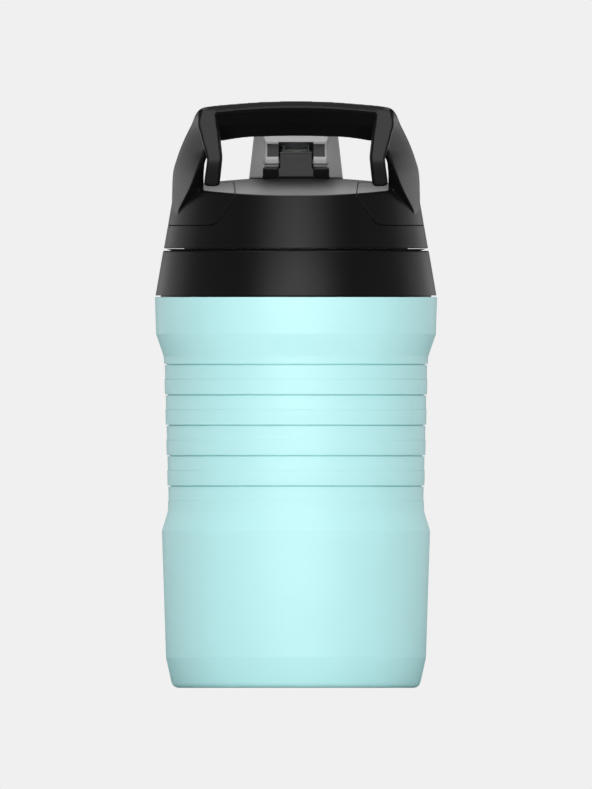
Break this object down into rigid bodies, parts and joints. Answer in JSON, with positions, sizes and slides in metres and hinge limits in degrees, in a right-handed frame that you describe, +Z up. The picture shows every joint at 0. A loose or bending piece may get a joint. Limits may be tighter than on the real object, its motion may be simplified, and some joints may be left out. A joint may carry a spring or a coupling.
{
  "type": "water jug",
  "caption": "Insulated jug with a grooved foam-filled body, screw lid, flip cap over a spout, push latch and an arched handle with two hook prongs.",
  "frame": {"origin": "middle of the base, on the body's axis", "axes": "+Z up along the body's axis, +Y towards the drinking spout, -Y towards the handle's hooks, +X to the right seen from the hook side"},
  "size_m": [0.144, 0.144, 0.2996],
  "materials": {
    "aqua_body": "satin moulded polyethylene",
    "black_lid": "satin moulded polypropylene",
    "black_handle": "satin moulded polypropylene",
    "food_plastic": "natural polypropylene",
    "foam": "rigid urethane foam",
    "grey_silicone": "soft moulded silicone",
    "steel": "stainless wire and pin"
  },
  "bodies": {
    "jug": {"outer_shell": "aqua_body", "foam_insulation": "foam", "inner_liner": "food_plastic", "fill_plug": "aqua_body", "neck_collar": "black_lid"},
    "seal_carrier": {"lid_gasket": "grey_silicone"},
    "lid": {"lid_shell": "black_lid", "lid_liner": "food_plastic", "handle": "black_handle", "handle_screw_1": "steel", "handle_screw_2": "steel", "handle_screw_3": "steel", "handle_screw_4": "steel", "spout": "food_plastic", "hinge_base": "black_lid", "hinge_pin": "steel", "cap_spring": "steel", "button_spring": "steel"},
    "cap": {"flip_cap": "black_handle", "spout_seal": "grey_silicone"},
    "button": {"latch_button": "black_handle"}
  },
  "joints": [
    {"name": "lid_rise", "type": "slide", "parent": "jug", "child": "seal_carrier", "axis": [0, 0, 1], "range_m": [0, 0.0075]},
    {"name": "lid_turn", "type": "hinge", "parent": "seal_carrier", "child": "lid", "pos_m": [0, 0, 0.2241], "axis": [0, 0, 1], "range_deg": [0, 450]},
    {"name": "cap_flip", "type": "hinge", "parent": "lid", "child": "cap", "pos_m": [0, -0.009, 0.2679], "axis": [1, 0, 0], "range_deg": [0, 90]},
    {"name": "button_press", "type": "slide", "parent": "lid", "child": "button", "axis": [0, -1, 0], "range_m": [0, 0.0025], "stiffness_N_per_m": 400}
  ],
  "couplings": [
    {"joint": "lid_rise", "follows": "lid_turn", "m_per_rad": 0.00095493}
  ]
}
